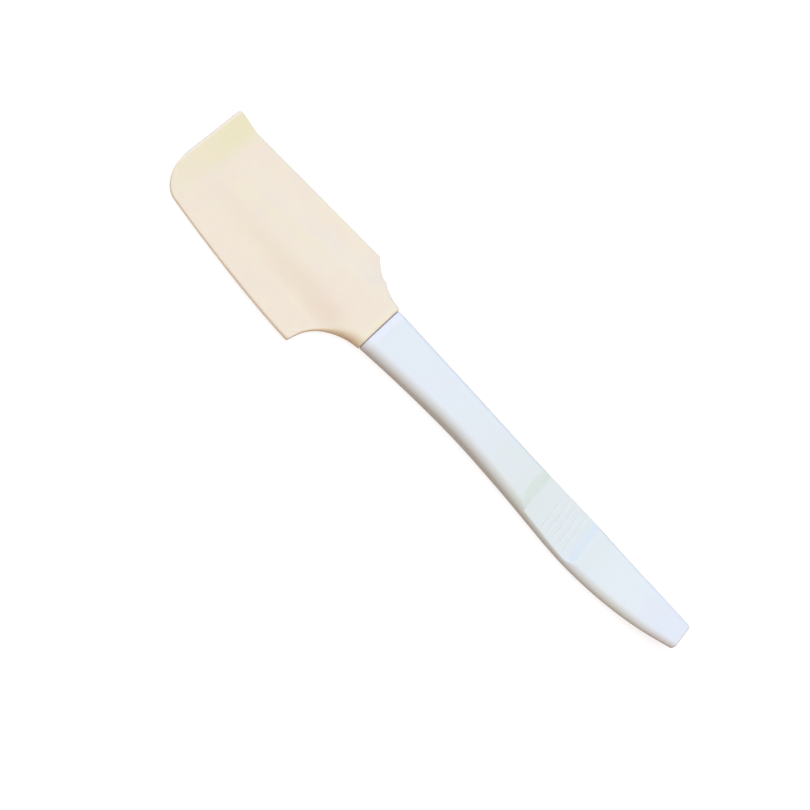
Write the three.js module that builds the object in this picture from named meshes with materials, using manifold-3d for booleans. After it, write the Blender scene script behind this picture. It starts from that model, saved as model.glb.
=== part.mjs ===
// A flexible kitchen scraper: a white plastic handle whose flat tang is pushed into a soft, thin-bladed head.
//
// Millimetres, +Z up. The scraper lies on its back on the plane z = 0. X runs along it, with the head toward
// -X and the tail of the handle toward +X. The joint between head and handle is at x = 0 until the last step,
// which moves the finished assembly so that the origin is below the middle of its bounding box.

import * as THREE from 'three';
import { mergeVertices } from 'three/addons/utils/BufferGeometryUtils.js';
import Module from 'manifold-3d';

const wasm = await Module();
wasm.setup();

// ---- Driving dimensions ----

const HEAD_LENGTH = 92.8;          // joint to the pointed tip corner
const HANDLE_LENGTH = 154;         // joint to the tail end
const JOINT_GAP = 0.3;             // clearance between the head and the handle, everywhere they meet

const NECK_HEIGHT = 6;
const NECK_BEVEL_LENGTH = 2.8;     // the handle slopes down to the joint over this length
const NECK_BEVEL_DROP = 0.4;

const TOP_EDGE_RADIUS = 3.2;       // long edges of the handle and the neck, upper and lower
const BACK_EDGE_RADIUS = 2;
const TOP_EDGE_SHARE = 0.6;        // a radius is at most this share of the handle's thickness
const BACK_EDGE_SHARE = 0.37;
const TAIL_EDGE_RADIUS = 0.9;      // edge round the tail end face
const SECTION_SPACING = 4;         // between the handle's sections

const TANG_LENGTH = 40;
const TANG_ROOT = { halfWidth: 6.6, halfHeight: 1.4 };
const TANG_TIP = { halfWidth: 3.8, halfHeight: 0.7 };
const TANG_EDGE_RADIUS = 0.6;
const TANG_ROOT_Z = 3;             // middle of its thickness at the joint; the underside is level
const TANG_TIP_Z = 2.3;            // and at its tip
const TANG_OVERLAP = 4;            // how far the tang runs into the handle before the two are joined

// Handle stations: distance from the joint, half width, sideways bow of the middle line, back and top height.
const HANDLE_STATIONS = [
  { x: 0, half: 10.7, bow: -0.6, back: 0, top: 6.0 },
  { x: 20, half: 9.55, bow: -0.35, back: 0, top: 6.6 },
  { x: 46, half: 8.7, bow: -0.5, back: 0, top: 7.1 },
  { x: 70, half: 9.1, bow: -1.2, back: 0, top: 6.4 },
  { x: 97, half: 10.45, bow: -2.0, back: 0, top: 5.0 },
  { x: 108, half: 10.5, bow: -2.3, back: 0.2, top: 4.9 },
  { x: 124, half: 9.6, bow: -2.2, back: 0.4, top: 5.3 },
  { x: 140, half: 8.0, bow: -1.5, back: 1.7, top: 6.1 },
  { x: 154, half: 5.7, bow: -0.35, back: 3.4, top: 7.0 },
];

// Thumb rest: a shallow dip across the whole top. Its front slope is a crescent in plan, with an arched upper
// edge and a straight foot, and its rear ramp is straight.
const REST_FRONT = 76.8;           // upper edge of the front slope on the middle line
const REST_FRONT_SLOPE = 4.2;
const REST_REAR = 108.4;           // upper edge of the rear ramp
const REST_REAR_RAMP = 5.3;
const REST_DEPTH = 1.15;
const REST_ARCH_HALF_WIDTH = 8.2;  // the arch is an ellipse across the handle
const REST_ARCH_RISE = 4.1;
const REST_FAR_SHARE = 0.4;        // the far half of the arch is this much shallower
const REST_LEAN = 0.03;            // the whole dip leans toward the tail on the near side, per millimetre
const REST_REACH = 14;             // the cutter stands out past both sides of the handle, and above its top
const REST_HEADROOM = 3;

const GROOVE_COUNT = 5;            // fine grip grooves in the floor of the thumb rest
const GROOVE_FIRST = 89.7;
const GROOVE_PITCH = 2.8;
const GROOVE_DEPTH = 0.2;
const GROOVE_STEEP = 0.25;         // width of the wall toward the head, then of the wall toward the tail
const GROOVE_GENTLE = 0.8;
const GROOVE_HALF_LENGTH = 8;
const GROOVE_LEAN = 0.07;          // toward the tail on the near side, per millimetre

// Blade outline. The far edge is straight with a pointed tip corner; the near edge narrows from its shoulder
// and ends in a large round corner at the tip.
const FAR_EDGE = 21.9;
const FAR_TIP = 23.9;
const FAR_FLARE_LENGTH = 12;
const NEAR_SHOULDER = 29.8;
const NEAR_TIP = 20;
const NEAR_EDGE_CURVE = 1.4;       // 1 is a straight near edge, more bends it outward
const NEAR_CORNER_LENGTH = 10.4;   // the round corner, along X and across
const NEAR_CORNER_WIDTH = 16;
const TIP_SLANT = 0.02;            // the tip edge recedes by this much per millimetre toward the near side
const TIP_SLANT_LENGTH = 30;
const SHOULDER_X = -19.2;          // where both long edges begin

// Concave shoulders, from the joint out to the long edges: x and distance from the middle line.
const FAR_SHOULDER_CURVE = [[0, 10.8], [-5, 11.8], [-10, 14.3], [-15, 17.8], [-18, 20.6], [-19.2, 21.9]];
const NEAR_SHOULDER_CURVE = [[0, 11.6], [-5, 12.6], [-10, 14.9], [-14.5, 18.6], [-17.4, 23.2], [-19.2, 29.8]];

// Blade thickness and spine.
const FLAP_HALF_THICKNESS = 1.0;
const TIP_HALF_THICKNESS = 0.6;
const BLADE_ROOT_Z = 1.8;          // middle of the blade's thickness at the joint
const SPINE_END = -86;             // where the spine has faded into the blade
const SPINE_ROOT = { halfWidth: 6.5, flank: 13 };  // the flat crest, and the slope on each side of it
const SPINE_TIP = { halfWidth: 4.6, flank: 8 };
const HEAD_SKEW = 1.15;            // the tip stands this far toward the near side of the handle's line
const NECK_BLEND = 17;             // the side walls of the neck taper into the flaps over this length

const PLASTIC = { color: 0xe6eef2, roughness: 0.42, metalness: 0 };
const ELASTOMER = { color: 0xf2e7d2, roughness: 0.62, metalness: 0 };

// ---- Small helpers ----

const mix = (a, b, t) => a + (b - a) * t;

function ease(t) {
  const s = Math.min(1, Math.max(0, t));
  return s * s * (3 - 2 * s);
}

// A smooth curve through points [x, value] whose x only rises or only falls, as a function of x.
function smoothCurve(pairs) {
  const knots = pairs.map(([x, value]) => new THREE.Vector3(x, value, 0));
  const points = new THREE.CatmullRomCurve3(knots, false, 'centripetal').getPoints(240);
  if (points[0].x > points[240].x) points.reverse();
  return (x) => {
    const found = points.findIndex((p) => p.x >= x);
    const next = found < 0 ? points.length - 1 : Math.max(1, found);
    const a = points[next - 1];
    const b = points[next];
    return mix(a.y, b.y, (x - a.x) / (b.x - a.x));
  };
}

const stationCurve = (key) => smoothCurve(HANDLE_STATIONS.map((s) => [s.x, s[key]]));
const backCurve = stationCurve('back');
const handleHalf = stationCurve('half');
const handleBow = stationCurve('bow');
const handleBack = (x) => Math.max(0, backCurve(x));
const handleTop = stationCurve('top');
const farShoulder = smoothCurve(FAR_SHOULDER_CURVE);
const nearShoulder = smoothCurve(NEAR_SHOULDER_CURVE);

// A closed solid through rings of points that all have the same count. Each ring goes round +X the same way.
function loft(rings) {
  const positions = [];
  const indices = [];
  const count = rings[0].length;
  for (const ring of rings) {
    for (const p of ring) positions.push(p.x, p.y, p.z);
  }
  for (let i = 0; i < rings.length - 1; i += 1) {
    for (let j = 0; j < count; j += 1) {
      const k = (j + 1) % count;
      const a = i * count + j;
      const b = i * count + k;
      indices.push(a, b, a + count, b, b + count, a + count);
    }
  }
  const addCap = (first, ring, reversed) => {
    const middle = ring.reduce((sum, p) => sum.add(p), new THREE.Vector3()).divideScalar(count);
    const centre = positions.length / 3;
    positions.push(middle.x, middle.y, middle.z);
    for (let j = 0; j < count; j += 1) {
      const a = first + j;
      const b = first + ((j + 1) % count);
      if (reversed) indices.push(centre, b, a);
      else indices.push(centre, a, b);
    }
  };
  addCap(0, rings[0], true);
  addCap((rings.length - 1) * count, rings[rings.length - 1], false);
  const geometry = new THREE.BufferGeometry();
  geometry.setAttribute('position', new THREE.Float32BufferAttribute(positions, 3));
  geometry.setIndex(indices);
  return geometry;
}

function toSolid(geometry) {
  const bare = geometry.clone();
  bare.deleteAttribute('normal');
  bare.deleteAttribute('uv');
  const merged = mergeVertices(bare, 1e-4);
  return new wasm.Manifold(new wasm.Mesh({
    numProp: 3,
    vertProperties: new Float32Array(merged.attributes.position.array),
    triVerts: new Uint32Array(merged.index.array),
  }));
}

function toGeometry(solid) {
  const mesh = solid.getMesh();
  const geometry = new THREE.BufferGeometry();
  geometry.setAttribute('position', new THREE.BufferAttribute(new Float32Array(mesh.vertProperties), 3));
  geometry.setIndex(new THREE.BufferAttribute(new Uint32Array(mesh.triVerts), 1));
  geometry.computeVertexNormals();
  return geometry;
}

// One rounded-rectangle section across X, counter-clockwise when seen from +X.
function roundedSection({ x, half, bow, back, top, topRadius, backRadius }) {
  const corners = [
    { y: half - topRadius, z: top - topRadius, r: topRadius, from: 0 },
    { y: -half + topRadius, z: top - topRadius, r: topRadius, from: 1 },
    { y: -half + backRadius, z: back + backRadius, r: backRadius, from: 2 },
    { y: half - backRadius, z: back + backRadius, r: backRadius, from: 3 },
  ];
  const steps = 5;
  const ring = [];
  for (const corner of corners) {
    for (let i = 0; i <= steps; i += 1) {
      const angle = (corner.from + i / steps) * Math.PI / 2;
      const y = bow + corner.y + corner.r * Math.cos(angle);
      ring.push(new THREE.Vector3(x, y, corner.z + corner.r * Math.sin(angle)));
    }
  }
  return ring;
}

// ---- Handle ----

function handleSection(x, inset = 0, drop = 0) {
  const back = handleBack(x) + inset;
  const top = handleTop(x) - inset - drop;
  const thickness = top - back;
  return roundedSection({
    x,
    half: handleHalf(x) - inset,
    bow: handleBow(x),
    back,
    top,
    topRadius: Math.min(TOP_EDGE_RADIUS, TOP_EDGE_SHARE * thickness),
    backRadius: Math.min(BACK_EDGE_RADIUS, BACK_EDGE_SHARE * thickness),
  });
}

function handleBody() {
  const rings = [];
  const start = JOINT_GAP / 2;
  for (const t of [0, 0.5, 1]) {
    rings.push(handleSection(start + NECK_BEVEL_LENGTH * t, 0, NECK_BEVEL_DROP * (1 - t) ** 2));
  }
  const tailStart = HANDLE_LENGTH - TAIL_EDGE_RADIUS;
  const neckEnd = start + NECK_BEVEL_LENGTH;
  for (let x = neckEnd + SECTION_SPACING; x < tailStart - 1; x += SECTION_SPACING) {
    rings.push(handleSection(x));
  }
  for (const angle of [0, 30, 60, 90]) {
    const turn = THREE.MathUtils.degToRad(angle);
    const x = tailStart + TAIL_EDGE_RADIUS * Math.sin(turn);
    rings.push(handleSection(x, TAIL_EDGE_RADIUS * (1 - Math.cos(turn))));
  }
  return loft(rings);
}

// The tang, or the room for it when a clearance is given.
function tang(clearance) {
  const section = (x, size, z) => roundedSection({
    x,
    half: size.halfWidth + clearance,
    bow: 0,
    back: z - size.halfHeight - clearance,
    top: z + size.halfHeight + clearance,
    topRadius: TANG_EDGE_RADIUS,
    backRadius: TANG_EDGE_RADIUS,
  });
  return loft([
    section(-TANG_LENGTH - 2 * clearance, TANG_TIP, TANG_TIP_Z),
    section(0, TANG_ROOT, TANG_ROOT_Z),
    section(TANG_OVERLAP, TANG_ROOT, TANG_ROOT_Z),
  ]);
}

// How far the arched upper edge of the front slope lies behind its middle, at y from the middle line.
function archSag(y) {
  const across = Math.min(1, Math.abs(y) / REST_ARCH_HALF_WIDTH);
  const sag = REST_ARCH_RISE * (1 - Math.sqrt(1 - across ** 2));
  return y > 0 ? sag * REST_FAR_SHARE : sag;
}

// The dip's cutter: an outline in plan for each height, so that both ends slope.
function thumbRestCutter() {
  const bow = handleBow(REST_FRONT);
  const foot = REST_FRONT + REST_FRONT_SLOPE;
  const levels = [
    { depth: REST_DEPTH, front: () => foot, rear: REST_REAR - REST_REAR_RAMP },
    { depth: 0, front: (y) => REST_FRONT + archSag(y), rear: REST_REAR },
    { depth: -REST_HEADROOM, front: (y) => REST_FRONT + archSag(y), rear: REST_REAR },
  ];
  const steps = 28;
  const rings = [];
  for (const level of levels) {
    const ring = [];
    const addPoint = (x, y) => {
      const height = handleTop(x) - level.depth;
      ring.push(new THREE.Vector3(x - REST_LEAN * y, y + bow, height));
    };
    for (let i = 0; i <= steps; i += 1) {
      const y = mix(-REST_REACH, REST_REACH, i / steps);
      addPoint(level.rear, y);
    }
    for (let i = 0; i <= steps; i += 1) {
      const y = mix(REST_REACH, -REST_REACH, i / steps);
      addPoint(level.front(y), y);
    }
    rings.push(ring);
  }
  return loft(rings);
}

function grooveCutter(x) {
  const floor = handleTop(x) - REST_DEPTH;
  const bow = handleBow(x);
  const overlap = 0.6;
  const section = (y) => {
    const middle = x - GROOVE_LEAN * y;
    const point = (along, height) => new THREE.Vector3(middle + along, bow + y, floor + height);
    return [
      point(0, -GROOVE_DEPTH),
      point(GROOVE_GENTLE, 0),
      point(GROOVE_GENTLE, overlap),
      point(-GROOVE_STEEP, overlap),
      point(-GROOVE_STEEP, 0),
    ];
  };
  return loft([section(GROOVE_HALF_LENGTH), section(-GROOVE_HALF_LENGTH)]);
}

function handleGeometry() {
  let solid = toSolid(handleBody()).add(toSolid(tang(0)));
  solid = solid.subtract(toSolid(thumbRestCutter()));
  for (let i = 0; i < GROOVE_COUNT; i += 1) {
    solid = solid.subtract(toSolid(grooveCutter(GROOVE_FIRST + i * GROOVE_PITCH)));
  }
  return toGeometry(solid);
}

// ---- Head ----

// Far edge (+Y) and near edge (-Y) of the head at a distance x from the joint.
function farEdge(x) {
  if (x > SHOULDER_X) return farShoulder(x);
  const fromTip = x + HEAD_LENGTH;
  return mix(FAR_EDGE, FAR_TIP, 1 - ease(fromTip / FAR_FLARE_LENGTH));
}

function nearEdge(x) {
  if (x > SHOULDER_X) return -nearShoulder(x);
  const along = (SHOULDER_X - x) / (HEAD_LENGTH + SHOULDER_X);
  const side = mix(NEAR_SHOULDER, NEAR_TIP, along ** NEAR_EDGE_CURVE);
  const corner = Math.max(0, 1 - (x + HEAD_LENGTH) / NEAR_CORNER_LENGTH);
  return -(side - NEAR_CORNER_WIDTH * (1 - Math.sqrt(1 - corner ** 2)));
}

// Height of a face of the neck above or below its middle, at a distance in from the side wall.
function neckProfile(height, radius, inward) {
  const short = Math.max(0, radius - inward);
  return height - radius + Math.sqrt(radius ** 2 - short ** 2);
}

function headSection(x) {
  const far = farEdge(x);
  const near = nearEdge(x);
  const toTip = -x / HEAD_LENGTH;
  const middle = mix(BLADE_ROOT_Z, TIP_HALF_THICKNESS, toTip);
  const flap = mix(FLAP_HALF_THICKNESS, TIP_HALF_THICKNESS, toTip);
  const fade = ease(x / SPINE_END);
  const spineHalf = mix(SPINE_ROOT.halfWidth, SPINE_TIP.halfWidth, ease(toTip * 2));
  const flank = mix(SPINE_ROOT.flank, SPINE_TIP.flank, toTip);
  const crest = mix(NECK_HEIGHT - BLADE_ROOT_Z, flap, fade);
  const keel = mix(BLADE_ROOT_Z, flap, fade);
  const neck = ease(1 + x / NECK_BLEND);
  const across = 26;
  const topSide = [];
  const backSide = [];
  for (let i = 0; i <= across; i += 1) {
    const t = -Math.cos(Math.PI * i / across);
    const y = t > 0 ? far * t : -near * t;
    const inward = Math.min(far - y, y - near);
    const bump = 1 - ease((Math.abs(y) - spineHalf) / flank);
    const above = mix(mix(flap, crest, bump), neckProfile(crest, TOP_EDGE_RADIUS, inward), neck);
    const below = mix(mix(flap, keel, bump), neckProfile(keel, BACK_EDGE_RADIUS, inward), neck);
    const recede = (FAR_TIP - y) * TIP_SLANT * (1 - ease((x + HEAD_LENGTH) / TIP_SLANT_LENGTH));
    const skewed = y - HEAD_SKEW * toTip;
    topSide.push(new THREE.Vector3(x + recede, skewed, middle + above));
    backSide.push(new THREE.Vector3(x + recede, skewed, Math.max(0, middle - below)));
  }
  return [...topSide.reverse(), ...backSide];
}

function headBody() {
  const stations = [];
  const cornerSteps = 6;
  for (let i = 0; i < cornerSteps; i += 1) {
    stations.push(-HEAD_LENGTH + NEAR_CORNER_LENGTH * (1 - Math.cos(i * Math.PI / 2 / cornerSteps)));
  }
  const bladeSteps = 16;
  for (let i = 0; i < bladeSteps; i += 1) {
    stations.push(mix(-HEAD_LENGTH + NEAR_CORNER_LENGTH, SHOULDER_X, i / bladeSteps));
  }
  const shoulderSteps = 14;
  for (let i = 0; i <= shoulderSteps; i += 1) {
    stations.push(mix(SHOULDER_X, -JOINT_GAP / 2, (i / shoulderSteps) ** 1.5));
  }
  return loft(stations.map(headSection));
}

function headGeometry() {
  return toGeometry(toSolid(headBody()).subtract(toSolid(tang(JOINT_GAP))));
}

// ---- Assembly ----

function piece(name, geometry, look) {
  const mesh = new THREE.Mesh(geometry, new THREE.MeshStandardMaterial(look));
  mesh.name = name;
  return mesh;
}

const scraper = new THREE.Group();
scraper.add(piece('handle', handleGeometry(), PLASTIC));
scraper.add(piece('scraper_head', headGeometry(), ELASTOMER));

const box = new THREE.Box3().setFromObject(scraper);
const centre = box.getCenter(new THREE.Vector3());
scraper.position.set(-centre.x, -centre.y, -box.min.z);

export default scraper;
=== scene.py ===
"""A flexible scraper's looks: a white plastic handle with a tang, and a cream rubber head pushed onto it.

Lengths are in millimetres, measured from the joint between head and handle: x toward the tail of the handle,
y toward the straight long edge of the blade, z up from the plane that the scraper lies on.
"""

import math

import bpy
import numpy as np
from mathutils import Matrix, Vector


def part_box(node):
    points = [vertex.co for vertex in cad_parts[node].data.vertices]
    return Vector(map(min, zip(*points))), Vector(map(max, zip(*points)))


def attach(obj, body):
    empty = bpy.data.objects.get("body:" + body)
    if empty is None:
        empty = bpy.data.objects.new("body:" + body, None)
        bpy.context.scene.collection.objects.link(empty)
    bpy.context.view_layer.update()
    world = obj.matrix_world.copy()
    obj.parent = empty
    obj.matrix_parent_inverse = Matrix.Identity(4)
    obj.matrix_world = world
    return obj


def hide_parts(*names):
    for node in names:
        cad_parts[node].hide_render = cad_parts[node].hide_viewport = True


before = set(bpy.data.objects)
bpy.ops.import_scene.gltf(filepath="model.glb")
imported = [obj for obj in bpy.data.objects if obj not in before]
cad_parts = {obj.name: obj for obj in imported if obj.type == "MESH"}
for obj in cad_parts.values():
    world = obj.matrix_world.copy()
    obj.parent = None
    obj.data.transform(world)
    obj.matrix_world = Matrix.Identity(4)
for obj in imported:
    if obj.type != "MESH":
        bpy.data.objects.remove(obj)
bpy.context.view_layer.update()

MM = 0.001

# ---- Handle ----

HANDLE_LENGTH = 154
JOINT_GAP = 0.3
HANDLE_X = [0, 20, 46, 70, 97, 108, 124, 140, 154]
HANDLE_HALF = [10.7, 9.55, 8.7, 9.1, 10.45, 10.5, 9.6, 8.0, 5.7]
HANDLE_BOW = [-0.6, -0.35, -0.5, -1.2, -2.0, -2.3, -2.2, -1.5, -0.35]
HANDLE_BACK = [0, 0, 0, 0, 0, 0.2, 0.4, 1.7, 3.4]
HANDLE_TOP = [6.0, 6.6, 7.1, 6.4, 5.0, 4.9, 5.3, 6.1, 7.0]
TOP_EDGE_RADIUS = 3.2
BACK_EDGE_RADIUS = 2
TOP_EDGE_SHARE = 0.6                 # a radius is at most this share of the handle's thickness
BACK_EDGE_SHARE = 0.37
TAIL_EDGE_RADIUS = 0.9
NECK_BEVEL_LENGTH = 2.8
SPIGOT_INSET = 0.3                   # a low step round the tang, which almost closes the joint
SPIGOT_REACH = 0.25
NECK_BEVEL_DROP = 0.4

REST_FRONT = 76.8
REST_FRONT_SLOPE = 4.2
REST_REAR = 108.4
REST_REAR_RAMP = 5.3
REST_DEPTH = 1.15
REST_ARCH_HALF_WIDTH = 8.2
REST_ARCH_RISE = 4.1
REST_FAR_SHARE = 0.4                 # the far half of the arch is this much shallower
REST_LEAN = 0.03                     # the dip leans toward the tail on the near side, per millimetre
REST_BLEND = 0.12
NO_CUT = 99.0                        # a height above everything, where nothing is cut

GROOVE_COUNT = 5
GROOVE_FIRST = 89.7
GROOVE_PITCH = 2.8
GROOVE_DEPTH = 0.2
GROOVE_STEEP = 0.25
GROOVE_GENTLE = 0.8
GROOVE_LEAN = 0.07
GROOVE_WANDER = 0.08                 # the grooves are not quite straight
GROOVE_HALF_LENGTH = 8
GROOVE_RUNOUT = 0.8

TANG_LENGTH = 40
TANG_ROOT_HALF_WIDTH, TANG_TIP_HALF_WIDTH = 6.6, 3.8
TANG_ROOT_HALF_HEIGHT, TANG_TIP_HALF_HEIGHT = 1.4, 0.7
TANG_ROOT_Z, TANG_TIP_Z = 3.0, 2.3
TANG_EDGE_RADIUS = 0.6

# ---- Head ----

HEAD_LENGTH = 92.8
NECK_HEIGHT = 6
FAR_EDGE, FAR_TIP = 21.9, 23.9
FAR_FLARE_LENGTH = 12
FAR_CORNER_RADIUS = 1.0
NEAR_SHOULDER, NEAR_TIP = 29.8, 20
NEAR_EDGE_CURVE = 1.4
NEAR_CORNER_LENGTH, NEAR_CORNER_WIDTH = 10.4, 16
TIP_SLANT, TIP_SLANT_LENGTH = 0.02, 30
SHOULDER_X = -19.2
FAR_SHOULDER_CURVE = [(-19.2, 21.9), (-18, 20.6), (-15, 17.8), (-10, 14.3), (-5, 11.8), (0, 10.8)]
FAR_NICK_X, FAR_NICK_LENGTH, FAR_NICK_HEIGHT = -10.6, 1.1, 0.7     # a small burr on the far shoulder
NEAR_SHOULDER_CURVE = [(-19.2, 29.8), (-17.4, 23.2), (-14.5, 18.6), (-10, 14.9), (-5, 12.6), (0, 11.6)]
FLAP_HALF_THICKNESS, TIP_HALF_THICKNESS = 1.0, 0.6
BLADE_ROOT_Z = 1.8
SPECK = (-18.4, 10.4, 3.6)           # a dark speck on the far side of the neck
SPINE_END = -86
SPINE_ROOT_HALF_WIDTH, SPINE_TIP_HALF_WIDTH = 6.5, 4.6
SPINE_ROOT_FLANK, SPINE_TIP_FLANK = 13, 8
HEAD_SKEW = 1.15                     # the tip stands this far toward the near side of the handle's line
NECK_BLEND = 17
COLLAR_LENGTH = 3.0
COLLAR_DROP = 0.15
LIP_RADIUS = 0.35                    # round edge of the head at the joint

# ---- Fineness of the meshes ----

ARC_STEPS = 12                       # points along the handle's section
FLAT_STEPS = 46
WALL_STEPS = 6
PLAIN_SPACING, FINE_SPACING = 1.2, 0.16       # between the handle's rings, outside and in the thumb rest
FINE_BEFORE_REST, FINE_PAST_REST = 1, 2       # how far the fine rings reach past the thumb rest
BEVEL_TO_RINGS, RINGS_TO_TAIL = 0.8, 0.3      # gaps left beside the bevel and the tail's end
TANG_RINGS = 24
EDGE_RINGS = 8                       # round the bevel at the joint and round the tail's end
ACROSS = 120                         # points across each face of the head
CORNER_RINGS, BLADE_RINGS, SHOULDER_RINGS = 30, 70, 60
FIRST_TURN = 0.02                    # in radians, so that the tip's first ring has some thickness
CROWDING = 1.5                       # above 1, the shoulder's rings lie closer together at the blade

# ---- Colours ----

NECK_WHITE = (0.70, 0.795, 0.80)
GRIP_WHITE = (0.695, 0.795, 0.765)
BACK_WHITE = (0.725, 0.825, 0.815)   # behind the thumb rest
TAIL_WHITE = (0.72, 0.80, 0.85)
CLOUD_WHITE = (0.72, 0.80, 0.83)
STREAK_GREY = (0.62, 0.64, 0.62)
# Painted light: a painted highlight on the bevel, and painted shade in the seam, on the front slope and on
# the ramp.
BEVEL_HIGHLIGHT_BLUE = (0.77, 0.83, 0.89)
SEAM_SHADE = (0.16, 0.11, 0.09)
SLOPE_SHADE_GREEN = (0.64, 0.80, 0.72)
RAMP_SHADE_BLUE = (0.65, 0.75, 0.78)
RAMP_TINT_START, RAMP_TINT_END, RAMP_TINT_FADE = 3.8, 2.6, 2.2   # back from the rear end, then the fade
SIDE_WALL_END, TOP_START = -12, -9   # between them, in y, the tints of the thumb rest fade in

CREAM, CREAM_CLOUD = (0.815, 0.755, 0.60), (0.825, 0.775, 0.605)
CREAM_MOTTLE = (0.85, 0.80, 0.65)
# Partly painted shade on the flank and in the hollow, a partly painted highlight on the ridge, a painted
# highlight on the rim.
FLANK_SHADE_BROWN = (0.79, 0.72, 0.55)
HOLLOW_PINK_AND_SHADE = (0.82, 0.71, 0.575)
RIDGE_HIGHLIGHT_YELLOW = (0.82, 0.78, 0.575)
TIP_YELLOW = (0.785, 0.76, 0.49)
RIM_HIGHLIGHT_CREAM = (0.86, 0.82, 0.69)
COLLAR_YELLOW = (0.83, 0.81, 0.61)
SPECK_BROWN = (0.30, 0.19, 0.12)

# ---- Camera, floor and light ----

CAMERA_TILT = math.radians(30)       # from straight down, leaning toward the near side
CAMERA_ROLL = math.radians(45.28)    # the handle runs down to the right by this much
CAMERA_LEAN = math.radians(1.66)     # the neck's own slope, which the view follows
CAMERA_DISTANCE = 485.9
CAMERA_AIM = Vector((25.5, -16.9, 6.0))
CAMERA_LENS = 62.07

FLOOR_HALF_SIZE = 3.0                # the stage's own lengths are in metres
FLOOR_CLEARANCE = 0.0002
FLOOR_COLOUR = (0.3, 0.3, 0.3)
FLOOR_GLOW = (0.8, 0.8, 0.8)
FLOOR_BOUNCE = (0.24, 0.13, 0.08)

COOL_SIDE = (-0.75, 0.66, 0)
COOL_LIGHT = (0.84, 0.93, 1.26)
WARM_LIGHT = (0.96, 0.75, 0.57)
TINT_REACH = 0.7                     # how far toward either side the tint goes on changing
HORIZON_SHARE = 0.85                 # brightness at the horizon, as a share of that overhead
FULL_LIGHT_HEIGHT = 0.6
LAMP_COLOUR = (0.94, 1.0, 1.0)


def joint_origin():
    """The joint's place in the row frame, in millimetres."""
    _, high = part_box("scraper_head")
    return Vector((high[0] / MM + JOINT_GAP / 2, high[1] / MM - FAR_TIP + HEAD_SKEW, 0.0))


JOINT = joint_origin()


def mix(a, b, t):
    return a + (b - a) * t


def ease(t):
    s = np.clip(t, 0.0, 1.0)
    return s * s * (3 - 2 * s)


def smooth_curve(xs, values):
    """A centripetal Catmull-Rom curve through (x, value), as a function of x."""
    knots = np.column_stack([xs, values]).astype(float)
    knots = np.vstack([2 * knots[0] - knots[1], knots, 2 * knots[-1] - knots[-2]])
    points = []
    for p0, p1, p2, p3 in zip(knots, knots[1:], knots[2:], knots[3:]):
        d0, d1, d2 = (np.sqrt(np.linalg.norm(b - a)) for a, b in ((p0, p1), (p1, p2), (p2, p3)))
        start = ((p1 - p0) / d0 - (p2 - p0) / (d0 + d1) + (p2 - p1) / d1) * d1
        end = ((p2 - p1) / d1 - (p3 - p1) / (d1 + d2) + (p3 - p2) / d2) * d1
        t = np.linspace(0, 1, 60)[:, None]
        cubic = (2 * p1 - 2 * p2 + start + end) * t**3 + (-3 * p1 + 3 * p2 - 2 * start - end) * t**2
        points.append(cubic + start * t + p1)
    points = np.vstack(points)
    return lambda x: np.interp(x, points[:, 0], points[:, 1])


handle_half = smooth_curve(HANDLE_X, HANDLE_HALF)
handle_bow = smooth_curve(HANDLE_X, HANDLE_BOW)
handle_back_curve = smooth_curve(HANDLE_X, HANDLE_BACK)
handle_top = smooth_curve(HANDLE_X, HANDLE_TOP)
far_shoulder = smooth_curve(*zip(*FAR_SHOULDER_CURVE))
near_shoulder = smooth_curve(*zip(*NEAR_SHOULDER_CURVE))


def loft(name, rings):
    """A closed mesh through rings of equal count, capped at both ends. Rings go round +X."""
    count = len(rings[0])
    verts = np.vstack(rings + [np.mean(rings[0], axis=0)[None], np.mean(rings[-1], axis=0)[None]])
    verts = (verts + np.array(JOINT)) * MM
    faces = []
    for i in range(len(rings) - 1):
        for j in range(count):
            k = (j + 1) % count
            faces.append((i * count + j, i * count + k, (i + 1) * count + k, (i + 1) * count + j))
    first_centre, last_centre = len(rings) * count, len(rings) * count + 1
    last = (len(rings) - 1) * count
    for j in range(count):
        k = (j + 1) % count
        faces.append((first_centre, k, j))
        faces.append((last_centre, last + j, last + k))
    mesh = bpy.data.meshes.new(name)
    mesh.from_pydata(verts.tolist(), [], faces)
    mesh.validate()
    mesh.shade_smooth()
    obj = bpy.data.objects.new(name, mesh)
    bpy.context.scene.collection.objects.link(obj)
    return obj


# ---- Handle shape ----


def rounded_section(x, half, bow, back, top, top_radius, back_radius):
    """One rounded rectangle across x, counter-clockwise seen from +X."""
    corners = [
        (half - top_radius, top - top_radius, top_radius, 0),
        (-half + top_radius, top - top_radius, top_radius, 1),
        (-half + back_radius, back + back_radius, back_radius, 2),
        (half - back_radius, back + back_radius, back_radius, 3),
    ]
    runs = [FLAT_STEPS, WALL_STEPS, FLAT_STEPS, WALL_STEPS]
    points = []
    for number, (cy, cz, radius, quarter) in enumerate(corners):
        angles = (quarter + np.linspace(0, 1, ARC_STEPS)) * math.pi / 2
        arc = np.column_stack([cy + radius * np.cos(angles), cz + radius * np.sin(angles)])
        ny, nz, nr, nq = corners[(number + 1) % 4]
        start_angle = nq * math.pi / 2
        next_point = np.array([ny + nr * math.cos(start_angle), nz + nr * math.sin(start_angle)])
        t = np.linspace(0, 1, runs[number] + 1)[1:-1, None]
        points += [arc, arc[-1] * (1 - t) + next_point * t]
    yz = np.vstack(points)
    return np.column_stack([np.full(len(yz), x), yz[:, 0] + bow, yz[:, 1]])


def arch_sag(y):
    """How far the arched upper edge of the front slope lies behind its middle, at y from the middle line."""
    across = np.minimum(1, np.abs(y) / REST_ARCH_HALF_WIDTH)
    sag = REST_ARCH_RISE * (1 - np.sqrt(1 - across**2))
    return np.where(y > 0, sag * REST_FAR_SHARE, sag)


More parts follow.
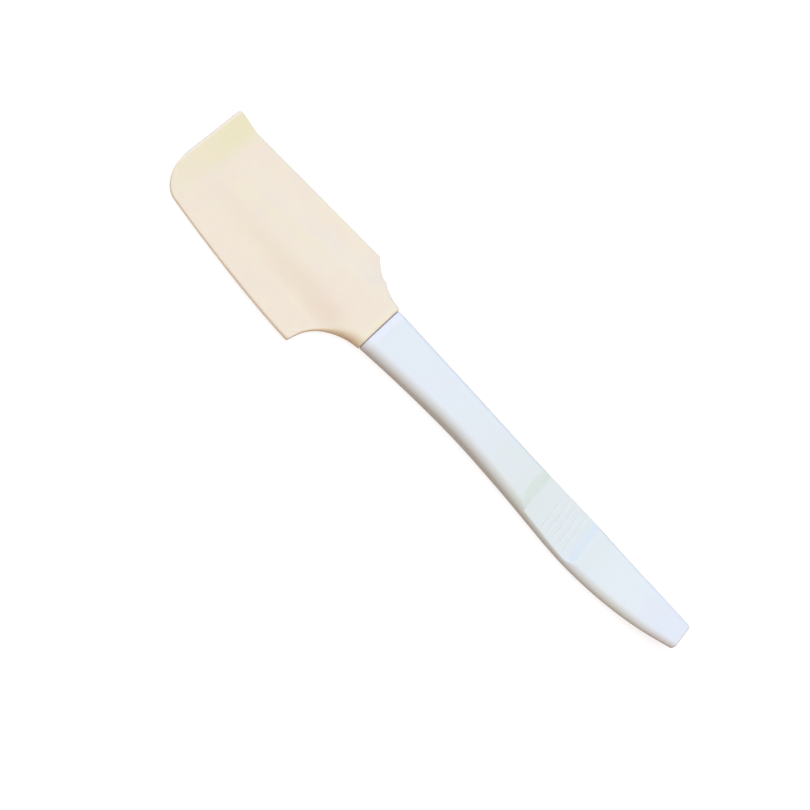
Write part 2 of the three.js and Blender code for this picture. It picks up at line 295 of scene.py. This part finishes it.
def rest_surface(x, y):
    """Height of the thumb rest's surface where it cuts the handle, or NO_CUT outside it."""
    y = y - handle_bow(REST_FRONT)
    along = x + REST_LEAN * y
    front_edge = REST_FRONT + arch_sag(y)
    foot = REST_FRONT + REST_FRONT_SLOPE
    rear_foot = REST_REAR - REST_REAR_RAMP
    front = REST_DEPTH * (foot - along) / (foot - front_edge)
    rear = REST_DEPTH * ease((along - rear_foot) / REST_REAR_RAMP)
    floor = handle_top(x) - REST_DEPTH
    height = floor + np.where(along < foot, front, 0) + np.where(along > rear_foot, rear, 0)
    return np.where((along < front_edge) | (along > REST_REAR), NO_CUT, height)


def groove_cut(x, y):
    """Depth of the grip grooves: a steep wall toward the head and a gentle one toward the tail.

    Sine waves that differ from groove to groove make them wander and change in depth.
    """
    y = y - handle_bow(x)
    depth = np.zeros_like(y)
    for number in range(GROOVE_COUNT):
        wander = np.sin(1.1 * y + 2.3 * number) + 0.6 * np.sin(2.9 * y - 1.7 * number)
        middle = GROOVE_FIRST + number * GROOVE_PITCH
        along = x + GROOVE_LEAN * y - middle - GROOVE_WANDER * wander
        share = 0.75 + 0.25 * np.sin(0.8 * y + 1.9 * number)
        profile = np.where(along < 0, 1 + along / GROOVE_STEEP, 1 - along / GROOVE_GENTLE)
        depth = np.maximum(depth, profile * share)
    ends = ease((GROOVE_HALF_LENGTH - np.abs(y)) / GROOVE_RUNOUT)
    return GROOVE_DEPTH * depth * ends


def carve_top(ring):
    """Lowers a ring of the handle into the thumb rest and its grooves, with a soft edge."""
    x, y, z = ring[:, 0], ring[:, 1], ring[:, 2]
    surface = rest_surface(x, y)
    gap = np.clip(0.5 + 0.5 * (z - surface) / REST_BLEND, 0, 1)
    carved = mix(z, surface, gap) - REST_BLEND * gap * (1 - gap)
    carved = np.where(surface < NO_CUT, carved, z)
    on_floor = (z > surface) & (surface < NO_CUT)
    carved = carved - np.where(on_floor, groove_cut(float(x[0]), y), 0)
    return np.column_stack([x, y, carved])


def handle_section(x, inset=0.0, drop=0.0):
    """The handle's section at x, made smaller all round by the inset, its top lowered by the drop."""
    back = max(0.0, float(handle_back_curve(x))) + inset
    top = min(float(handle_top(x)), max(HANDLE_TOP)) - inset - drop
    thickness = top - back
    return rounded_section(
        x,
        float(handle_half(x)) - inset,
        float(handle_bow(x)),
        back,
        top,
        min(TOP_EDGE_RADIUS, TOP_EDGE_SHARE * thickness),
        min(BACK_EDGE_RADIUS, BACK_EDGE_SHARE * thickness),
    )


def tang_size(x):
    """The tang's half width, half height and the height of its middle at x."""
    t = -x / TANG_LENGTH
    half_width = mix(TANG_ROOT_HALF_WIDTH, TANG_TIP_HALF_WIDTH, t)
    half_height = mix(TANG_ROOT_HALF_HEIGHT, TANG_TIP_HALF_HEIGHT, t)
    return half_width, half_height, mix(TANG_ROOT_Z, TANG_TIP_Z, t)


def tang_section(x):
    """The tang's section at x: a flat bar with rounded edges that tapers toward its tip."""
    half_width, half_height, middle = tang_size(x)
    return rounded_section(
        x, half_width, 0.0, middle - half_height, middle + half_height, TANG_EDGE_RADIUS, TANG_EDGE_RADIUS
    )


def handle_stations():
    """Where the handle's rings lie: fine in the thumb rest, coarser elsewhere."""
    grip_start, grip_end = REST_FRONT - FINE_BEFORE_REST, REST_REAR + FINE_PAST_REST
    neck_start = NECK_BEVEL_LENGTH + BEVEL_TO_RINGS
    tail_end = HANDLE_LENGTH - TAIL_EDGE_RADIUS - RINGS_TO_TAIL
    plain = np.arange(neck_start, grip_start, PLAIN_SPACING)
    fine = np.arange(grip_start, grip_end, FINE_SPACING)
    tail = np.arange(grip_end, tail_end, PLAIN_SPACING)
    return np.concatenate([plain, fine, tail])


def build_handle():
    """The tang from its tip to the spigot at the joint, then the handle's outside to the tail's end."""
    start = JOINT_GAP / 2
    spigot = start - SPIGOT_REACH
    rings = [tang_section(x) for x in np.linspace(-TANG_LENGTH, spigot, TANG_RINGS)]
    rings += [handle_section(x, SPIGOT_INSET) for x in (spigot, start)]
    for turn in np.linspace(0, 1, EDGE_RINGS):
        x = start + NECK_BEVEL_LENGTH * turn
        rings.append(handle_section(x, 0.0, NECK_BEVEL_DROP * (1 - turn) ** 2))
    rings += [carve_top(handle_section(x)) for x in handle_stations()]
    for angle in np.radians(np.linspace(0, 90, EDGE_RINGS)):
        x = HANDLE_LENGTH - TAIL_EDGE_RADIUS * (1 - math.sin(angle))
        rings.append(handle_section(x, TAIL_EDGE_RADIUS * (1 - math.cos(angle))))
    return loft("handle_moulding", rings)


# ---- Head shape ----


def far_edge(x):
    """The straight long edge, its pointed corner at the tip and its shoulder, at x from the joint."""
    if x > SHOULDER_X:
        nick = FAR_NICK_HEIGHT * math.exp(-(((x - FAR_NICK_X) / FAR_NICK_LENGTH) ** 2))
        return float(far_shoulder(x)) + nick
    edge = mix(FAR_EDGE, FAR_TIP, 1 - float(ease((x + HEAD_LENGTH) / FAR_FLARE_LENGTH)))
    corner = max(0.0, 1 - (x + HEAD_LENGTH) / FAR_CORNER_RADIUS)
    return edge - FAR_CORNER_RADIUS * (1 - math.sqrt(1 - corner**2))


def near_edge(x):
    """The bowed long edge, its round corner at the tip and its shoulder, as a negative y."""
    if x > SHOULDER_X:
        return -float(near_shoulder(x))
    along = (SHOULDER_X - x) / (HEAD_LENGTH + SHOULDER_X)
    side = mix(NEAR_SHOULDER, NEAR_TIP, along**NEAR_EDGE_CURVE)
    corner = max(0.0, 1 - (x + HEAD_LENGTH) / NEAR_CORNER_LENGTH)
    return -(side - NEAR_CORNER_WIDTH * (1 - math.sqrt(1 - corner**2)))


def neck_profile(height, radius, inward):
    """Height of a face with a rounded edge, at a distance in from that edge."""
    short = np.maximum(0, radius - inward)
    return height - radius + np.sqrt(np.maximum(radius**2 - short**2, 0))


def edge_round(half_thickness, inward):
    """Half the thickness near a rounded edge, as a share of the full half thickness."""
    short = np.clip(1 - inward / half_thickness, 0, 1)
    return np.sqrt(1 - short**2)


def collar_drop(x):
    """How much lower the top of the neck is near the joint, where it ends in a round lip."""
    from_lip = min(LIP_RADIUS, max(0.0, -JOINT_GAP / 2 - x))
    lip = LIP_RADIUS - math.sqrt(from_lip * (2 * LIP_RADIUS - from_lip))
    return COLLAR_DROP * (1 - float(ease(-x / COLLAR_LENGTH))) + lip


def head_section(x):
    """The head's section at x: the neck near the joint, then a spine that fades into two thin flaps."""
    far, near = far_edge(x), near_edge(x)
    to_tip = -x / HEAD_LENGTH
    middle = mix(BLADE_ROOT_Z, TIP_HALF_THICKNESS, to_tip)
    flap = mix(FLAP_HALF_THICKNESS, TIP_HALF_THICKNESS, to_tip)
    fade = float(ease(x / SPINE_END))
    spine_half = mix(SPINE_ROOT_HALF_WIDTH, SPINE_TIP_HALF_WIDTH, float(ease(to_tip * 2)))
    flank = mix(SPINE_ROOT_FLANK, SPINE_TIP_FLANK, to_tip)
    crest = mix(NECK_HEIGHT - BLADE_ROOT_Z, flap, fade)
    keel = mix(BLADE_ROOT_Z, flap, fade)
    neck = float(ease(1 + x / NECK_BLEND))
    share = -np.cos(np.linspace(0, math.pi, ACROSS))
    y = np.where(share > 0, far * share, -near * share)
    inward = np.minimum(far - y, y - near)
    bump = 1 - ease((np.abs(y) - spine_half) / flank)
    rounding = edge_round(flap, inward) * float(edge_round(flap, x + HEAD_LENGTH))
    neck_top = neck_profile(crest - collar_drop(x), TOP_EDGE_RADIUS, inward)
    neck_back = neck_profile(keel, BACK_EDGE_RADIUS, inward)
    above = mix(mix(flap, crest, bump) * rounding, neck_top, neck)
    below = mix(mix(flap, keel, bump) * rounding, neck_back, neck)
    recede = (FAR_TIP - y) * TIP_SLANT * (1 - float(ease((x + HEAD_LENGTH) / TIP_SLANT_LENGTH)))
    skewed = y - HEAD_SKEW * to_tip
    top = np.column_stack([x + recede, skewed, middle + above])
    back = np.column_stack([x + recede, skewed, np.maximum(0, middle - below)])
    return np.vstack([top[::-1], back])


def socket_section(x):
    """The wall of the socket: the tang's section with the clearance all round, in the head's ring order."""
    half_width, half_height, middle = tang_size(x)
    half_width += JOINT_GAP
    half_height += JOINT_GAP
    y = -np.cos(np.linspace(0, math.pi, ACROSS)) * half_width
    height = neck_profile(half_height, TANG_EDGE_RADIUS, half_width - np.abs(y))
    top = np.column_stack([np.full(ACROSS, x), y, middle + height])
    back = np.column_stack([np.full(ACROSS, x), y, middle - height])
    return np.vstack([top[::-1], back])


def build_head():
    """The outside from the tip to the joint, then the socket's wall back in from the joint."""
    mouth, bottom = -JOINT_GAP / 2, -TANG_LENGTH - 2 * JOINT_GAP
    corner = 1 - np.cos(np.linspace(FIRST_TURN, math.pi / 2, CORNER_RINGS))
    tip = -HEAD_LENGTH + NEAR_CORNER_LENGTH * corner
    blade = np.linspace(tip[-1], SHOULDER_X, BLADE_RINGS)[1:]
    shoulder = mix(SHOULDER_X, mouth, np.linspace(0, 1, SHOULDER_RINGS)[1:] ** CROWDING)
    rings = [head_section(x) for x in np.concatenate([tip, blade, shoulder])]
    rings += [socket_section(x) for x in np.linspace(mouth, bottom, TANG_RINGS)]
    return loft("head_moulding", rings)


# ---- Materials ----


class NodeTree:
    """A short way to write a node tree."""

    def __init__(self, tree):
        self.tree = tree

    def add(self, kind, **settings):
        node = self.tree.nodes.new(kind)
        for key, value in settings.items():
            setattr(node, key, value)
        return node

    def feed(self, value, socket):
        """Links a socket, or sets a number or a tuple."""
        if isinstance(value, (int, float, tuple)):
            socket.default_value = value
        else:
            self.tree.links.new(value, socket)

    def add_linked(self, kind, source, **settings):
        node = self.add(kind, **settings)
        self.feed(source, node.inputs[0])
        return node

    def axes(self, vector):
        return self.add_linked("ShaderNodeSeparateXYZ", vector).outputs

    def maths(self, operation, a, b=0.0, c=0.0):
        node = self.add("ShaderNodeMath", operation=operation)
        for socket, value in zip(node.inputs, (a, b, c)):
            self.feed(value, socket)
        return node.outputs["Value"]

    def times(self, a, b):
        return self.maths("MULTIPLY", a, b)

    def span(self, value, low, high, to_low=0.0, to_high=1.0, shape="SMOOTHSTEP"):
        """The value's place between low and high, as a number from to_low to to_high."""
        node = self.add("ShaderNodeMapRange", interpolation_type=shape)
        sockets = ("Value", "From Min", "From Max", "To Min", "To Max")
        for socket, number in zip(sockets, (value, low, high, to_low, to_high)):
            self.feed(number, node.inputs[socket])
        return node.outputs["Result"]

    def band(self, value, low, high, soft):
        """1 between low and high, fading to 0 over a soft width on both sides."""
        rise = self.span(value, low - soft, low)
        return self.times(rise, self.span(value, high, high + soft, 1.0, 0.0))

    def blend(self, amount, a, b):
        """Colour a turning to colour b by amount. Each colour is a tuple or a socket."""
        node = self.add("ShaderNodeMix", data_type="RGBA")
        inputs = [socket for socket in node.inputs if socket.type == "RGBA"]
        self.feed(amount, node.inputs[0])
        for socket, colour in zip(inputs, (a, b)):
            self.feed((*colour, 1.0) if isinstance(colour, tuple) else colour, socket)
        return next(socket for socket in node.outputs if socket.type == "RGBA")


    def tint(self, colour, other, where, strength=1.0):
        """Colour turning to another where the mask is 1, by a strength from 0 to 1."""
        amount = where if strength == 1.0 else self.times(where, strength)
        return self.blend(amount, colour, other)


class Material(NodeTree):
    """The node tree of a new material with one Principled shader."""

    def __init__(self, name):
        self.material = bpy.data.materials.new(name)
        self.material.use_nodes = True
        super().__init__(self.material.node_tree)
        self.shader = self.tree.nodes["Principled BSDF"]

    def place(self):
        """The point on the piece in millimetres from the joint, which moves with the piece."""
        node = self.add("ShaderNodeVectorMath", operation="MULTIPLY_ADD")
        self.feed(self.add("ShaderNodeTexCoord").outputs["Object"], node.inputs[0])
        self.feed((1 / MM, 1 / MM, 1 / MM), node.inputs[1])
        self.feed(tuple(-JOINT), node.inputs[2])
        return node.outputs["Vector"]

    def stretched(self, vector, factors):
        node = self.add_linked("ShaderNodeVectorMath", vector, operation="MULTIPLY")
        self.feed(factors, node.inputs[1])
        return node.outputs["Vector"]

    def noise(self, vector, scale, detail=3.0, roughness=0.5):
        node = self.add_linked("ShaderNodeTexNoise", vector)
        self.feed(scale, node.inputs["Scale"])
        self.feed(detail, node.inputs["Detail"])
        self.feed(roughness, node.inputs["Roughness"])
        return node.outputs["Fac"]

    def near_point(self, vector, point, radius, soft):
        """1 within a radius of the point, fading to 0 over a soft width."""
        node = self.add_linked("ShaderNodeVectorMath", vector, operation="DISTANCE")
        self.feed(point, node.inputs[1])
        return self.span(node.outputs["Value"], radius, radius + soft, 1.0, 0.0)

    def bump(self, height, distance, before=None):
        """A normal bumped by a height of up to a distance in millimetres, on top of the normal before it."""
        node = self.add("ShaderNodeBump")
        self.feed(1.0, node.inputs["Strength"])
        self.feed(distance * MM, node.inputs["Distance"])
        self.feed(height, node.inputs["Height"])
        if before is not None:
            self.feed(before, node.inputs["Normal"])
        return node.outputs["Normal"]

    def scatter(self, weight, radius_mm):
        self.feed(weight, self.shader.inputs["Subsurface Weight"])
        self.feed(tuple(radius * MM for radius in radius_mm), self.shader.inputs["Subsurface Radius"])

    def finish(self, colour, roughness, normal):
        self.feed(colour, self.shader.inputs["Base Color"])
        self.feed(roughness, self.shader.inputs["Roughness"])
        self.feed(normal, self.shader.inputs["Normal"])
        return self.material


def plastic_colour(n, x, y, cloud, streaks):
    """White, with a tint for each stretch of the handle and painted shade in the seam at the joint.

    The tints of the bevel, the front slope and the ramp are partly painted light: a painted highlight on
    the bevel, and painted shade on the front slope and the ramp, which the lamps alone don't give.
    """
    colour = n.blend(n.span(x, 20, 75), NECK_WHITE, GRIP_WHITE)
    colour = n.tint(colour, BACK_WHITE, n.span(x, 104, 124))
    colour = n.tint(colour, TAIL_WHITE, n.span(x, 128, 150))
    colour = n.tint(colour, CLOUD_WHITE, n.span(cloud, 0.42, 0.62), 0.5)
    colour = n.tint(colour, STREAK_GREY, n.span(streaks, 0.62, 0.8), 0.10)
    # Painted highlight on the bevel at the joint end of the handle.
    bevel = n.span(x, NECK_BEVEL_LENGTH - 0.2, NECK_BEVEL_LENGTH + 0.2, 1.0, 0.0)
    colour = n.tint(colour, BEVEL_HIGHLIGHT_BLUE, bevel, 0.7)
    # Painted shade in the seam, the gap between head and handle.
    seam = n.band(x, -JOINT_GAP / 2, JOINT_GAP / 2 - 0.02, 0.01)
    colour = n.tint(colour, SEAM_SHADE, seam, 0.85)
    along = n.maths("MULTIPLY_ADD", y, REST_LEAN, x)
    on_top = n.span(y, SIDE_WALL_END, TOP_START)
    # Painted shade on the front slope of the thumb rest.
    front_slope = n.band(along, REST_FRONT, REST_FRONT + REST_FRONT_SLOPE, 0.3)
    colour = n.tint(colour, SLOPE_SHADE_GREEN, n.times(front_slope, on_top), 0.5)
    # Painted shade, with a cool tint, on the rear ramp of the thumb rest.
    ramp = n.band(along, REST_REAR - RAMP_TINT_START, REST_REAR - RAMP_TINT_END, RAMP_TINT_FADE)
    return n.tint(colour, RAMP_SHADE_BLUE, n.times(ramp, on_top), 0.7)


def plastic_material():
    """Satin white moulded plastic: fine grain, long faint streaks, and rubbing where it is held."""
    n = Material("white_plastic")
    place = n.place()
    x, y, _ = n.axes(place)
    cloud = n.noise(place, 0.06, 3.0)
    streaks = n.noise(n.stretched(place, (0.05, 0.9, 0.9)), 1.0, 4.0, 0.6)
    grain = n.noise(place, 3.0, 2.0)
    held = n.band(x, REST_FRONT, REST_REAR, 8.0)
    roughness = n.maths("MULTIPLY_ADD", held, -0.06, n.span(cloud, 0.3, 0.7, 0.34, 0.44))
    roughness = n.maths("MULTIPLY_ADD", n.span(streaks, 0.55, 0.8), 0.12, roughness)
    along = n.maths("MULTIPLY_ADD", y, REST_LEAN, x)
    grooved = n.band(along, GROOVE_FIRST - 2, REST_REAR - REST_REAR_RAMP, 1.5)
    brushed = n.times(n.noise(n.stretched(place, (1.7, 0.14, 0.14)), 1.0, 4.0, 0.6), grooved)
    normal = n.bump(brushed, 0.05, n.bump(streaks, 0.012, n.bump(grain, 0.006)))
    n.scatter(0.08, (2.0, 1.8, 1.6))
    return n.finish(plastic_colour(n, x, y, cloud, streaks), roughness, normal)


def elastomer_colour(n, place, cloud, mottle):
    """Cream, yellower toward the tip and pinker in the hollow beside the neck, partly with painted shade and
    highlights.
    """
    x, y, _ = n.axes(place)
    colour = n.blend(n.span(cloud, 0.4, 0.6), CREAM, CREAM_CLOUD)
    colour = n.tint(colour, CREAM_MOTTLE, n.span(mottle, 0.45, 0.75), 0.22)
    # Partly painted shade on the near flank of the spine.
    flank = n.times(n.band(y, -9.0, -5.5, 3.0), n.band(x, -70, -30, 12.0))
    colour = n.tint(colour, FLANK_SHADE_BROWN, flank, 0.25)
    # The hollow beside the neck: a pinker tone, partly painted shade.
    hollow = n.times(n.band(y, -12.5, -5.5, 3.5), n.band(x, -31, -14, 6.0))
    colour = n.tint(colour, HOLLOW_PINK_AND_SHADE, hollow, 0.2)
    # Partly a painted highlight along the ridge of the spine.
    across_ridge = n.maths("MULTIPLY_ADD", x, -0.16, y)
    ridge = n.times(n.band(across_ridge, 9.5, 11.5, 2.5), n.band(x, -72, -40, 8.0))
    colour = n.tint(colour, RIDGE_HIGHLIGHT_YELLOW, ridge, 0.5)
    toward_far = n.maths("MULTIPLY_ADD", n.span(y, -22, 18), 0.75, 0.25)
    colour = n.tint(colour, TIP_YELLOW, n.times(n.span(x, -85, -78, 1.0, 0.0), toward_far))
    # Painted highlight along the rounded edge of the tip.
    slanted = n.maths("MULTIPLY_ADD", y, TIP_SLANT, x)
    from_edge = n.maths("ADD", slanted, HEAD_LENGTH - TIP_SLANT * FAR_TIP)
    colour = n.tint(colour, RIM_HIGHLIGHT_CREAM, n.span(from_edge, 0.9, 1.5, 1.0, 0.0), 0.75)
    colour = n.tint(colour, COLLAR_YELLOW, n.span(x, -3.4, -2.6), 0.6)
    return n.tint(colour, SPECK_BROWN, n.near_point(place, SPECK, 0.15, 0.25), 0.8)


def elastomer_material():
    """Cream rubber with a soft sheen, a fine grain and a slight mottle."""
    n = Material("cream_elastomer")
    place = n.place()
    cloud = n.noise(place, 0.07, 3.0)
    mottle = n.noise(place, 0.35, 4.0, 0.6)
    grain = n.noise(place, 2.4, 3.0)
    cloud_roughness = n.span(cloud, 0.3, 0.7, 0.48, 0.56)
    roughness = n.maths("MULTIPLY_ADD", n.span(mottle, 0.35, 0.7), 0.1, cloud_roughness)
    normal = n.bump(mottle, 0.03, n.bump(grain, 0.01))
    n.scatter(0.2, (3.0, 2.0, 1.0))
    return n.finish(elastomer_colour(n, place, cloud, mottle), roughness, normal)


# ---- Stage ----


def floor_material():
    """A floor that looks pale to the camera.

    The light that it throws back is dimmer and warmer than it looks, which shades the side walls.
    """
    n = Material("floor")
    seen = n.add("ShaderNodeLightPath").outputs["Is Camera Ray"]
    n.feed(n.blend(seen, FLOOR_BOUNCE, FLOOR_COLOUR), n.shader.inputs["Base Color"])
    n.feed(seen, n.shader.inputs["Emission Strength"])
    n.feed((*FLOOR_GLOW, 1.0), n.shader.inputs["Emission Color"])
    n.feed(0.9, n.shader.inputs["Roughness"])
    n.feed(0.0, n.shader.inputs["Specular IOR Level"])
    return n.material


def build_floor():
    size = FLOOR_HALF_SIZE
    mesh = bpy.data.meshes.new("floor")
    corners = [(-size, -size, 0), (size, -size, 0), (size, size, 0), (-size, size, 0)]
    mesh.from_pydata(corners, [], [(0, 1, 2, 3)])
    mesh.materials.append(floor_material())
    floor = bpy.data.objects.new("floor", mesh)
    floor.location.z = -FLOOR_CLEARANCE
    bpy.context.scene.collection.objects.link(floor)


def area_light(name, place, size, power):
    """A soft round lamp that faces the origin."""
    data = bpy.data.lights.new(name, "AREA")
    data.shape = "DISK"
    data.size = size
    data.energy = power
    data.color = LAMP_COLOUR
    light = bpy.data.objects.new(name, data)
    light.location = place
    light.rotation_euler = (-Vector(place)).to_track_quat("-Z", "Y").to_euler()
    bpy.context.scene.collection.objects.link(light)


def build_world():
    """A soft surround, dimmer near the horizon, cool toward the head and the far side and warm opposite.

    The camera sees it as plain white; only the light that it gives has these tints.
    """
    world = bpy.data.worlds.new("studio")
    world.use_nodes = True
    n = NodeTree(world.node_tree)
    direction = n.add("ShaderNodeTexCoord").outputs["Generated"]
    toward_cool = n.add_linked("ShaderNodeVectorMath", direction, operation="DOT_PRODUCT")
    n.feed(COOL_SIDE, toward_cool.inputs[1])
    share = n.span(toward_cool.outputs["Value"], -TINT_REACH, TINT_REACH, shape="LINEAR")
    surround = n.tree.nodes["Background"]
    n.feed(n.blend(share, WARM_LIGHT, COOL_LIGHT), surround.inputs["Color"])
    rise = n.span(n.axes(direction)["Z"], 0.0, FULL_LIGHT_HEIGHT, HORIZON_SHARE, 1.0, shape="LINEAR")
    n.feed(rise, surround.inputs["Strength"])

    pale = n.add("ShaderNodeBackground")
    n.feed((1.0, 1.0, 1.0, 1.0), pale.inputs["Color"])
    choice = n.add_linked("ShaderNodeMixShader", n.add("ShaderNodeLightPath").outputs["Is Camera Ray"])
    n.feed(surround.outputs["Background"], choice.inputs[1])
    n.feed(pale.outputs["Background"], choice.inputs[2])
    n.feed(choice.outputs["Shader"], n.tree.nodes["World Output"].inputs["Surface"])
    bpy.context.scene.world = world


def build_lights():
    area_light("key", (-0.2, 0.9, 1.1), size=0.9, power=2.2)
    area_light("top", (0.1, 0.1, 1.5), size=1.2, power=3.2)
    bpy.context.scene.view_settings.view_transform = "Standard"


def build_camera():
    lean = Matrix.Rotation(-CAMERA_LEAN, 3, "Y")
    look = lean @ Vector((0, math.sin(CAMERA_TILT), -math.cos(CAMERA_TILT)))
    right = lean @ Vector((1, 0, 0))
    up = lean @ Vector((0, math.cos(CAMERA_TILT), math.sin(CAMERA_TILT)))
    turn_c, turn_s = math.cos(CAMERA_ROLL), math.sin(CAMERA_ROLL)
    view_right = right * turn_c + up * turn_s
    view_up = up * turn_c - right * turn_s
    data = bpy.data.cameras.new("camera")
    data.sensor_width = 36
    data.lens = CAMERA_LENS
    data.clip_start = 0.01
    camera = bpy.data.objects.new("camera", data)
    camera.rotation_mode = "QUATERNION"
    camera.rotation_quaternion = Matrix((view_right, view_up, -look)).transposed().to_quaternion()
    aim = JOINT + lean @ Vector((CAMERA_AIM.x, CAMERA_AIM.y, 0)) + Vector((0, 0, CAMERA_AIM.z))
    camera.location = (aim - look * CAMERA_DISTANCE) * MM
    bpy.context.scene.collection.objects.link(camera)
    bpy.context.scene.camera = camera


build_camera()
build_world()
build_lights()
build_floor()

handle = build_handle()
handle.data.materials.append(plastic_material())
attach(handle, "handle")
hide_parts("handle")

head = build_head()
head.data.materials.append(elastomer_material())
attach(head, "head")
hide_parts("scraper_head")
